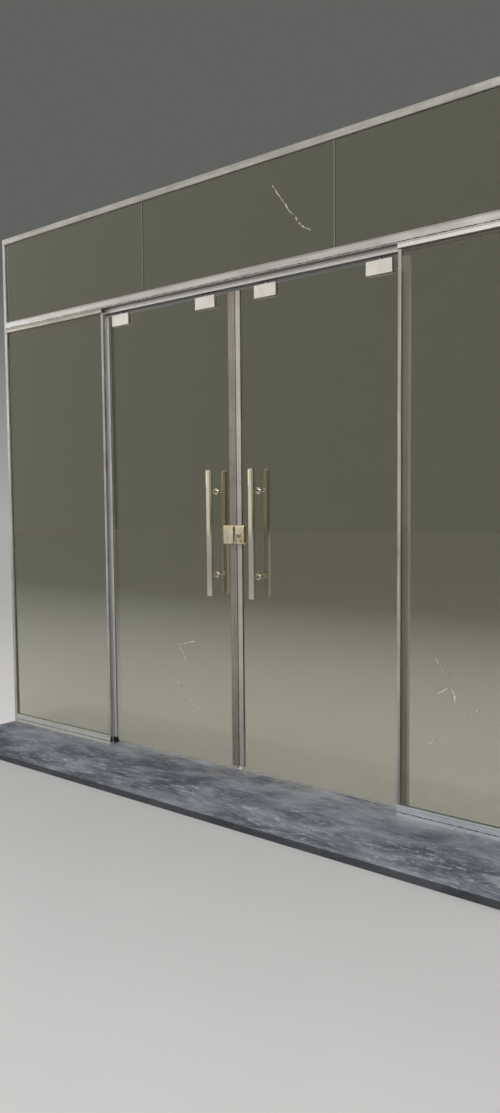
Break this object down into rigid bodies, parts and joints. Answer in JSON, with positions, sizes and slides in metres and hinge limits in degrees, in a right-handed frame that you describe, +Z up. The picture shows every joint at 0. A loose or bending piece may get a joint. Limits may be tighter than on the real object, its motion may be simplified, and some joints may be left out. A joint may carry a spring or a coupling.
{
  "type": "glass facade",
  "caption": "frameless glass shop front with fixed side panels, a glass transom, a header rail with roller track and parting top-hung sliding doors with bar handles and a key lock",
  "frame": {"origin": "middle of the front's width, on the plane of the fixed glass, at the underside of the stone threshold", "axes": "+X along the front to the right as seen from outdoors, +Y indoors, +Z up"},
  "size_m": [3.38, 0.589, 2.864],
  "materials": {
    "dark_stone": "honed, dusty",
    "polished_aluminium": "polished",
    "satin_aluminium": "satin",
    "stile_aluminium": "satin",
    "clear_glass": "polished",
    "clear_silicone": "glossy",
    "black_rubber": "matte",
    "brush_pile": "brush",
    "black_nylon": "matte",
    "zinc_steel": "zinc plated",
    "wheel_steel": "turned",
    "satin_stainless": "satin",
    "polished_stainless": "polished",
    "plated_case": "plated",
    "brass": "turned",
    "nickel_key": "nickel plated"
  },
  "bodies": {
    "frame": {"stone_threshold": "dark_stone", "header_rail": "polished_aluminium", "bottom_channel_left": "polished_aluminium", "bottom_channel_right": "polished_aluminium", "fixed_top_channel_left": "polished_aluminium", "fixed_top_channel_right": "polished_aluminium", "head_channel": "satin_aluminium", "wall_channel_left": "satin_aluminium", "wall_channel_right": "satin_aluminium", "edge_profiles": "satin_aluminium", "transom_glass_left": "clear_glass", "transom_glass_middle": "clear_glass", "transom_glass_right": "clear_glass", "fixed_glass_left": "clear_glass", "fixed_glass_right": "clear_glass", "transom_joint_seals": "clear_silicone", "glazing_gaskets": "clear_silicone", "setting_blocks": "black_rubber", "track_stops": "black_rubber", "fixed_edge_seals": "brush_pile", "floor_guides": "black_nylon", "frame_screws": "zinc_steel", "header_brackets": "zinc_steel"},
    "door_left": {"door_glass_left": "clear_glass", "lead_stile_left": "stile_aluminium", "trail_stile_left": "stile_aluminium", "clamp_fronts_left": "satin_stainless", "clamp_backs_left": "satin_stainless", "clamp_pads_left": "black_rubber", "clamp_screws_left": "satin_stainless", "hanger_bolts_left": "zinc_steel", "carriages_left": "zinc_steel", "pull_outer_left": "polished_stainless", "pull_inner_left": "polished_stainless", "meeting_seal": "black_rubber", "keeper_case": "plated_case"},
    "door_right": {"door_glass_right": "clear_glass", "lead_stile_right": "stile_aluminium", "trail_stile_right": "stile_aluminium", "clamp_fronts_right": "satin_stainless", "clamp_backs_right": "satin_stainless", "clamp_pads_right": "black_rubber", "clamp_screws_right": "satin_stainless", "hanger_bolts_right": "zinc_steel", "carriages_right": "zinc_steel", "pull_outer_right": "polished_stainless", "pull_inner_right": "polished_stainless", "lock_case": "plated_case"},
    "key_and_plug": {"lock_plug": "brass", "key": "nickel_key", "lock_hook": "nickel_key"},
    "hanging_key": {"key_bunch": "nickel_key"},
    "wheels_left_1": {"wheel_set_left_1": "wheel_steel"},
    "wheels_left_2": {"wheel_set_left_2": "wheel_steel"},
    "wheels_left_3": {"wheel_set_left_3": "wheel_steel"},
    "wheels_left_4": {"wheel_set_left_4": "wheel_steel"},
    "wheels_right_1": {"wheel_set_right_1": "wheel_steel"},
    "wheels_right_2": {"wheel_set_right_2": "wheel_steel"},
    "wheels_right_3": {"wheel_set_right_3": "wheel_steel"},
    "wheels_right_4": {"wheel_set_right_4": "wheel_steel"}
  },
  "joints": [
    {"name": "door_left_slide", "type": "slide", "parent": "frame", "child": "door_left", "axis": [-1, 0, 0], "range_m": [0, 0.69]},
    {"name": "door_right_slide", "type": "slide", "parent": "frame", "child": "door_right", "axis": [1, 0, 0], "range_m": [0, 0.69]},
    {"name": "wheels_left_1_spin", "type": "hinge", "parent": "door_left", "child": "wheels_left_1", "pos_m": [-0.143, 0.037, 2.3478], "axis": [0, 1, 0], "continuous": true},
    {"name": "wheels_left_2_spin", "type": "hinge", "parent": "door_left", "child": "wheels_left_2", "pos_m": [-0.213, 0.037, 2.3478], "axis": [0, 1, 0], "continuous": true},
    {"name": "wheels_left_3_spin", "type": "hinge", "parent": "door_left", "child": "wheels_left_3", "pos_m": [-0.722, 0.037, 2.3478], "axis": [0, 1, 0], "continuous": true},
    {"name": "wheels_left_4_spin", "type": "hinge", "parent": "door_left", "child": "wheels_left_4", "pos_m": [-0.792, 0.037, 2.3478], "axis": [0, 1, 0], "continuous": true},
    {"name": "wheels_right_1_spin", "type": "hinge", "parent": "door_right", "child": "wheels_right_1", "pos_m": [0.143, 0.037, 2.3478], "axis": [0, 1, 0], "continuous": true},
    {"name": "wheels_right_2_spin", "type": "hinge", "parent": "door_right", "child": "wheels_right_2", "pos_m": [0.213, 0.037, 2.3478], "axis": [0, 1, 0], "continuous": true},
    {"name": "wheels_right_3_spin", "type": "hinge", "parent": "door_right", "child": "wheels_right_3", "pos_m": [0.722, 0.037, 2.3478], "axis": [0, 1, 0], "continuous": true},
    {"name": "wheels_right_4_spin", "type": "hinge", "parent": "door_right", "child": "wheels_right_4", "pos_m": [0.792, 0.037, 2.3478], "axis": [0, 1, 0], "continuous": true},
    {"name": "key_turn", "type": "hinge", "parent": "door_right", "child": "key_and_plug", "pos_m": [0.029, 0, 1.174], "axis": [0, -1, 0], "range_deg": [0, 60]},
    {"name": "hanging_key_swing", "type": "hinge", "parent": "key_and_plug", "child": "hanging_key", "pos_m": [0.029, -0.0214, 1.1635], "axis": [0, 1, 0], "range_deg": [-60, 60]}
  ],
  "couplings": [
    {"joint": "wheels_left_1_spin", "follows": "door_left_slide", "rad_per_m": -71.429},
    {"joint": "wheels_left_2_spin", "follows": "door_left_slide", "rad_per_m": -71.429},
    {"joint": "wheels_left_3_spin", "follows": "door_left_slide", "rad_per_m": -71.429},
    {"joint": "wheels_left_4_spin", "follows": "door_left_slide", "rad_per_m": -71.429},
    {"joint": "wheels_right_1_spin", "follows": "door_right_slide", "rad_per_m": 71.429},
    {"joint": "wheels_right_2_spin", "follows": "door_right_slide", "rad_per_m": 71.429},
    {"joint": "wheels_right_3_spin", "follows": "door_right_slide", "rad_per_m": 71.429},
    {"joint": "wheels_right_4_spin", "follows": "door_right_slide", "rad_per_m": 71.429}
  ]
}
